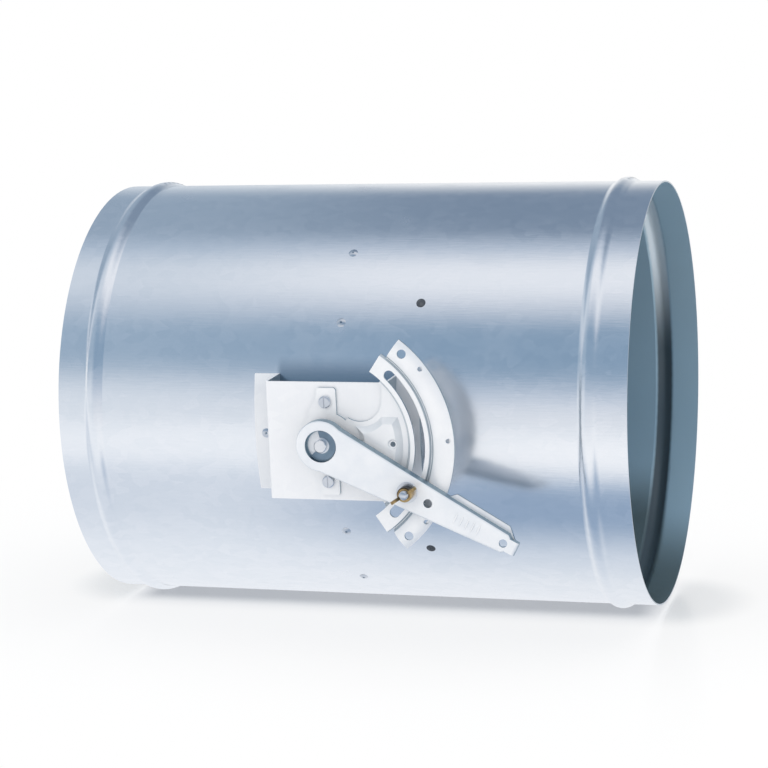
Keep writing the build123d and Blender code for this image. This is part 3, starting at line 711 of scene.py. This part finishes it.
pin_sizes = {"Foot Radius": 0.00085, "Top Radius": 0.00062, "Height": 0.00045}
pin_tree = set_on_points("set_of_pins", dict.fromkeys(pin_sizes, "Float"), coned_pin,
                         along_aim)
pins = grow("rivet_pins", pin_tree, rivet_places, {**pin_sizes, "Material": spring_blue})
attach(pins, "casing")
print("rivet pins:", len(pins.data.polygons), "faces")

# %% [markdown]
# The lock bolt is a plain solid in the frame. A real one has a thread, and its
# end shows above the wing nut. A thread is easiest as a lathe whose radius also
# depends on the angle: every ring is a little further round the same groove, so
# the groove winds up the stem by itself. The crest has the solid's own radius,
# so the nut still runs clear.

# %% A lathe
bolt_low, bolt_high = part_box("lock_bolt")
bolt_centre = ((bolt_low[0] + bolt_high[0]) / 2, (bolt_low[2] + bolt_high[2]) / 2)
head_radius = (bolt_high[0] - bolt_low[0]) / 2
bolt_foot = -bolt_high[1]
bolt_end = -bolt_low[1]


def turned(name, profile, centre, steps, material):
    """Turns a profile about the line through centre along -Y.

    The profile is a list of (radius, height). A radius may be a function of the
    angle. The first and the last radius are 0, which closes the ends."""
    shape = bmesh.new()
    rings = []
    for radius, height in profile:
        if radius == 0:
            rings.append([shape.verts.new((centre[0], -height, centre[1]))])
            continue
        ring = []
        for step in range(steps):
            angle = 2 * math.pi * step / steps
            out = radius(angle) if callable(radius) else radius
            ring.append(shape.verts.new((centre[0] + out * math.cos(angle), -height,
                                         centre[1] + out * math.sin(angle))))
        rings.append(ring)
    for low, high in zip(rings, rings[1:]):
        for step in range(steps):
            after = (step + 1) % steps
            corners = []
            for vert in (low[step % len(low)], low[after % len(low)],
                         high[after % len(high)], high[step % len(high)]):
                if vert not in corners:
                    corners.append(vert)
            shape.faces.new(corners)
    bmesh.ops.recalc_face_normals(shape, faces=shape.faces)
    mesh = bpy.data.meshes.new(name)
    shape.to_mesh(mesh)
    shape.free()
    mesh.materials.append(material)
    mesh.polygons.foreach_set("use_smooth", [True] * len(mesh.polygons))
    piece = bpy.data.objects.new(name, mesh)
    bpy.context.scene.collection.objects.link(piece)
    return piece


print("the bolt reaches from", round(bolt_foot, 4), "to", round(bolt_end, 4))

# %% [markdown]
# The bolt's profile starts under its low domed head, goes up its plain neck and
# then row by row up the thread. An M6 thread climbs one millimetre in a turn, and
# eight rows for each turn are enough for its slopes to look straight.

# %% Lock bolt with its thread
head_height = 0.0026
# insets from the head's edge and heights above its foot, for its rounded corner
head_round = [(0.0014, 0.0), (0.0007, 0.0002), (0.0002, 0.0007), (0.0, 0.0014)]
edge_break = 0.0001
neck = 0.0065           # plain length between the head and the thread
run_in = 0.0003         # length over which the thread begins
end_bevel = (0.0004, 0.0005)            # inset and height of the bolt's bevelled end
crest = 0.003           # largest and smallest radius of the thread
root = 0.00247
thread_pitch = 0.001
rows_each = 8


def thread_at(height):
    """Radius of the thread at a height, as a function of the angle.

    Up the stem it is a wave of straight slopes with flat crests and flat roots."""
    def radius(angle):
        part = (height / thread_pitch - angle / (2 * math.pi)) % 1.0
        rise = min(1.0, max(0.0, 2.6 * abs(2.0 * part - 1.0) - 0.7))
        return root + (crest - root) * rise
    return radius


bolt_profile = [(0, bolt_foot)]
bolt_profile += [(head_radius - inset, bolt_foot + rise) for inset, rise in head_round]
head_top = bolt_foot + head_height
bolt_profile += [(head_radius, head_top - edge_break), (head_radius - edge_break, head_top),
                 (crest, head_top), (crest, head_top + neck)]
thread_start = head_top + neck + run_in
thread_length = bolt_end - end_bevel[1] - edge_break - thread_start
thread_rows = int(thread_length / thread_pitch * rows_each)
for row in range(thread_rows):
    row_height = thread_start + row * thread_pitch / rows_each
    bolt_profile.append((thread_at(row_height), row_height))
bolt_profile += [(root, bolt_end - end_bevel[1]), (root - end_bevel[0], bolt_end),
                 (0, bolt_end)]
bolt = turned("lock_bolt_threaded", bolt_profile, bolt_centre, 36, plated_fixing)
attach(bolt, "blade_set")
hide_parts("lock_bolt")
print("lock bolt:", thread_rows // rows_each, "turns,", len(bolt.data.polygons), "faces")

# %% [markdown]
# The lever's grip has a few short raised bars, so that a gloved finger holds it.
# They could be cut into the lever's mesh, but the solid must stay as it came.
# So they are a repeat: a row of points along the lever, and a ball on each that
# is squeezed to a long low bar and turned to lie across the lever. Half of each
# ball is sunk in the sheet, which leaves a bar with softly rounded ends.

# %% Grip bars
def squeezed_ball(tree, given):
    """A ball of diameter 1, scaled to the size that the tree is given."""
    ball = tree.nodes.new("GeometryNodeMeshUVSphere")
    ball.inputs["Segments"].default_value = 24
    ball.inputs["Rings"].default_value = 12
    ball.inputs["Radius"].default_value = 0.5
    shaped = tree.nodes.new("GeometryNodeTransform")
    tree.links.new(ball.outputs["Mesh"], shaped.inputs["Geometry"])
    tree.links.new(given["Size"], shaped.inputs["Scale"])
    return shaped.outputs["Geometry"]


def as_given(tree, given):
    """Turns every piece alike, by the tree's own input."""
    return given["Turn"]


bar_count = 5
first_bar = 0.101                       # from the shaft to the first bar
bar_step = 0.0042
bar_size = (0.0014, 0.0007, 0.0082)     # along the lever, out from it and across it
lever_slope = math.atan2(along_lever.z, along_lever.x)
bar_places = []
for bar in range(bar_count):
    reach_out = first_bar + bar_step * bar
    place = Vector((shaft_x, lever_front, 0)) + along_lever * reach_out
    bar_places.append((place, (0, -1, 0)))
bar_tree = set_on_points("row_of_bars", {"Size": "Vector", "Turn": "Vector"}, squeezed_ball,
                         as_given)
bars = grow("lever_grip_bars", bar_tree, bar_places,
            {"Size": bar_size, "Turn": (0.0, -lever_slope, 0.0), "Material": zinc_plate})
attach(bars, "blade_set")
print("grip bars:", len(bar_places), "of", len(bars.data.polygons) // len(bar_places), "faces")

# %% [markdown]
# The set is a white table, a white room and three soft lamps. Polished sheet
# shows what stands around it, so plain white walls alone would make a duct look
# flat. In a studio it stands in a tent with grey-blue cards laid along it: they
# reflect as long bands, and the bands make a cylinder read as round. Separate
# cards would show their edges, so here one wide cloth carries all of them as a
# ramp of colours. Its shade depends on the angle about the duct's axis, from 0 at
# the lever side over the top to 180 degrees at the back.

# %% Cards for the reflections
def banded(finish, along, stops):
    """Colour of a row of soft cards: stops are places between 0 and 1 and colours."""
    return finish.node("ShaderNodeValToRGB", {"stops": stops}, {"Fac": along}, output="Color")


def glow(finish, colour):
    """Light of a colour, at full strength whatever shines on it."""
    return finish.node("ShaderNodeEmission", None, {"Color": colour}, output=0)


def show(finish, result):
    """Puts a shader on the finish's surface, without making a lamp of it."""
    end = finish.tree.nodes["Material Output"]
    finish.tree.links.new(result.socket, end.inputs["Surface"])
    finish.material.cycles.emission_sampling = "NONE"


cool = (0.245, 0.350, 0.480)
slate = (0.205, 0.270, 0.365)
pale = (0.87, 0.88, 0.92)
inlet_card = (0.414, 0.51, 0.622)       # what the sheet mirrors towards the inlet
low_card = (0.80, 0.83, 0.88)
tent_finish = Finish("card_tent")
tent_x, tent_y, tent_z = tent_finish.axes()
over = tent_finish.node("ShaderNodeMath", {"operation": "ARCTAN2"},
                        {0: tent_z, 1: 0.0 - tent_y})
bands = banded(tent_finish, over / math.pi, [
    (0.00, (0.78, 0.80, 0.85)), (0.05, (0.56, 0.62, 0.72)), (0.115, cool), (0.235, cool),
    (0.30, (0.62, 0.66, 0.74)), (0.36, pale), (0.43, pale), (0.50, (0.48, 0.55, 0.66)),
    (0.565, slate), (0.79, slate), (0.92, (1.0, 1.0, 1.0))])
tent_side = tent_x.fade(-0.42, 0.0)
tent_colour = tent_finish.blend(0.5 - 0.5 * tent_side, bands, inlet_card)
low_down = 1.0 - (over / math.pi).fade(0.02, 0.16)
tent_colour = tent_finish.blend(low_down * (0.8 - 0.8 * tent_side), tent_colour, low_card)
show(tent_finish, glow(tent_finish, tent_colour))
print("cards on:", tent_finish.material.name)

# %% [markdown]
# The cloth hangs as one half of a pipe around the duct, made of flat panels. A
# sphere would be simpler, but its bands would close at the poles, where a pipe's
# run straight on. It is far longer than the duct, so that no end of it shows in
# the sheet, and it goes a little past level on both sides. Only reflections see
# it: it hides nothing, shades nothing and lights nothing.

# %% Tent
def stage_mesh(name, points, faces, material):
    """Adds a plain mesh that belongs to the set and not to the object."""
    data = bpy.data.meshes.new(name)
    data.from_pydata(points, [], faces)
    data.materials.append(material)
    made = bpy.data.objects.new(name, data)
    bpy.context.scene.collection.objects.link(made)
    return made


tent_away = 1.2         # the pipe's radius
tent_ends = (-8.0, 8.0)
tent_span = 194.0       # degrees about the duct's axis
tent_steps = 60
tent_points = []
for step in range(tent_steps + 1):
    turn = math.radians((180.0 - tent_span) / 2 + tent_span * step / tent_steps)
    for end in tent_ends:
        tent_points.append((end, -tent_away * math.cos(turn), tent_away * math.sin(turn)))
tent = stage_mesh("tent", tent_points,
                  [(2 * k, 2 * k + 1, 2 * k + 3, 2 * k + 2) for k in range(tent_steps)],
                  tent_finish.material)
tent.visible_camera = False
tent.visible_diffuse = False
tent.visible_shadow = False
tent.visible_transmission = False
print("tent of radius", tent_away, "with", tent_steps, "panels")

# %% [markdown]
# The table is white with a soft gloss, so it keeps the contact shadow and a
# faint mirror image of the duct. Reflections in the sheet need it to carry a card
# too, laid in front of the duct where its underside looks down. A real sheet of
# card would cast its own shade, so this one is a ramp of colours across the
# table. Its edge lies a little askew, further out towards the inlet. Close under
# the duct the table's colour is darker too: a painted contact shadow.

# %% Colours of the table
card_span = 0.8         # the ramp ends this far in front of the duct
deep = (0.30, 0.395, 0.54)
near_white = (0.97, 0.97, 0.99)
floor_finish = Finish("white_table", Metallic=0.0, Roughness=0.2, IOR=1.3)
floor_x, floor_y = floor_finish.axes()[:2]
in_front = 0.0 - floor_y
shift = floor_x.fade(0.19, 0.33, 0.05, 0.012) * in_front.fade(0.19, 0.25)
laid = banded(floor_finish, (in_front - shift) / card_span, [
    (0.00, (0.90, 0.91, 0.94)), (0.10, (0.84, 0.86, 0.90)), (0.155, (0.67, 0.72, 0.80)),
    (0.20, (0.44, 0.52, 0.64)), (0.235, deep), (0.30, deep), (0.34, (0.42, 0.51, 0.64)),
    (0.40, (0.72, 0.76, 0.83)), (0.48, near_white), (0.80, near_white),
    (1.00, (0.86, 0.88, 0.92))])
card_side = floor_x.fade(0.06, 0.27)
laid = floor_finish.blend(0.68 - 0.68 * card_side, laid, (0.88, 0.90, 0.94))
off_x = abs(floor_x - duct_middle) - duct_length / 2
away_from_duct = (off_x.most(0.0).power(2.0) + floor_y.power(2.0)).power(0.5)
# painted contact shadow: the table's colour is darker close under the duct
contact_shadow = (1.0 - off_x.fade(-0.02, 0.0)) * (1.0 - away_from_duct.fade(0.03, 0.055))
floor_finish.feed(Base_Color=floor_finish.blend(contact_shadow, (0.95, 0.952, 0.956),
                                                (0.60, 0.61, 0.63)))
print("card on the table from the duct's axis to", card_span)

# %% [markdown]
# What a ray is decides what it meets. Reflections meet the card. Seen straight,
# the table turns to plain white paper away from the duct, as the sweep behind a
# product does, and stays a lit surface close to it, where shadows belong. A real
# sweep needs a curved sheet and many lamps, and a mix by the kind of ray gives
# the same calm white without noise.

# %% Table
def kind_of_ray(finish, kind):
    """1 for rays of a kind, such as Camera or Glossy, and 0 for all others."""
    return finish.node("ShaderNodeLightPath", output=f"Is {kind} Ray")


lit_paper = Value(floor_finish, floor_finish.shader.outputs[0])
table_top = floor_finish.node("ShaderNodeMixShader", None,
                              {0: kind_of_ray(floor_finish, "Glossy"), 1: lit_paper,
                               2: glow(floor_finish, laid)}, output=0)
paper_share = away_from_duct.fade(0.034, 0.07, 0.25, 0.72) - 0.2 * contact_shadow
paper_share = paper_share + away_from_duct.fade(0.07, 0.4, 0.0, 0.28)
table_top = floor_finish.node("ShaderNodeMixShader", None,
                              {0: kind_of_ray(floor_finish, "Camera") * paper_share,
                               1: table_top, 2: glow(floor_finish, (1, 1, 1, 1))}, output=0)
show(floor_finish, table_top)
floor_level = solid_box[0][2]
reach = 14.0            # half the table's width, so that its rim is out of sight
stage_mesh("floor", [(-reach, -reach, floor_level), (reach, -reach, floor_level),
                     (reach, reach, floor_level), (-reach, reach, floor_level)],
           [(0, 1, 2, 3)], floor_finish.material)
print("table at", round(floor_level, 4))

# %% [markdown]
# The room is plain white. It is a touch dimmer as a lamp than as a view, so that
# the sheet's shaded sides keep their depth while the background stays clean
# white. Three soft lamps stand around the duct: a key from the lever's side, a
# broad one overhead and a weak fill from the outlet's side. Reflections don't
# see them, because their bright squares would cut the bands of the cards.

# %% Room and lamps
as_lamp = 0.86
as_view = 1.0
world = bpy.data.worlds.new("white_room")
bpy.context.scene.world = world
world.use_nodes = True
room = world.node_tree
path = room.nodes.new("ShaderNodeLightPath")
seen = path.outputs["Is Camera Ray"]
for kind in ("Is Glossy Ray", "Is Transmission Ray"):
    either = room.nodes.new("ShaderNodeMath")
    either.operation = "MAXIMUM"
    room.links.new(seen, either.inputs[0])
    room.links.new(path.outputs[kind], either.inputs[1])
    seen = either.outputs[0]
level = room.nodes.new("ShaderNodeMapRange")
level.inputs["To Min"].default_value = as_lamp
level.inputs["To Max"].default_value = as_view
room.links.new(seen, level.inputs["Value"])
room.links.new(level.outputs[0], room.nodes["Background"].inputs["Strength"])
room.nodes["Background"].inputs["Color"].default_value = (1.0, 1.0, 1.0, 1.0)


def softbox(name, place, target, side, power):
    """Adds a square soft lamp at a place that looks at a target."""
    data = bpy.data.lights.new(name, "AREA")
    data.shape = "RECTANGLE"
    data.size = side
    data.size_y = side
    data.energy = power
    lamp = bpy.data.objects.new(name, data)
    bpy.context.scene.collection.objects.link(lamp)
    aim = (Vector(target) - Vector(place)).to_track_quat("-Z", "Y")
    lamp.matrix_world = Matrix.Translation(place) @ aim.to_matrix().to_4x4()
    lamp.visible_glossy = False
    return lamp


middle = (Vector(solid_box[0]) + Vector(solid_box[1])) / 2
lamps = [softbox(name, middle + Vector(offset), middle, side, power)
         for name, offset, side, power in (("key_softbox", (-1.2, -2.2, 1.6), 1.6, 16.0),
                                           ("top_softbox", (0.3, 0.3, 2.4), 2.4, 16.0),
                                           ("fill_softbox", (2.2, -1.6, 0.9), 1.6, 6.0))]
print("lamps:", [lamp.name for lamp in lamps])

# %% End
import json
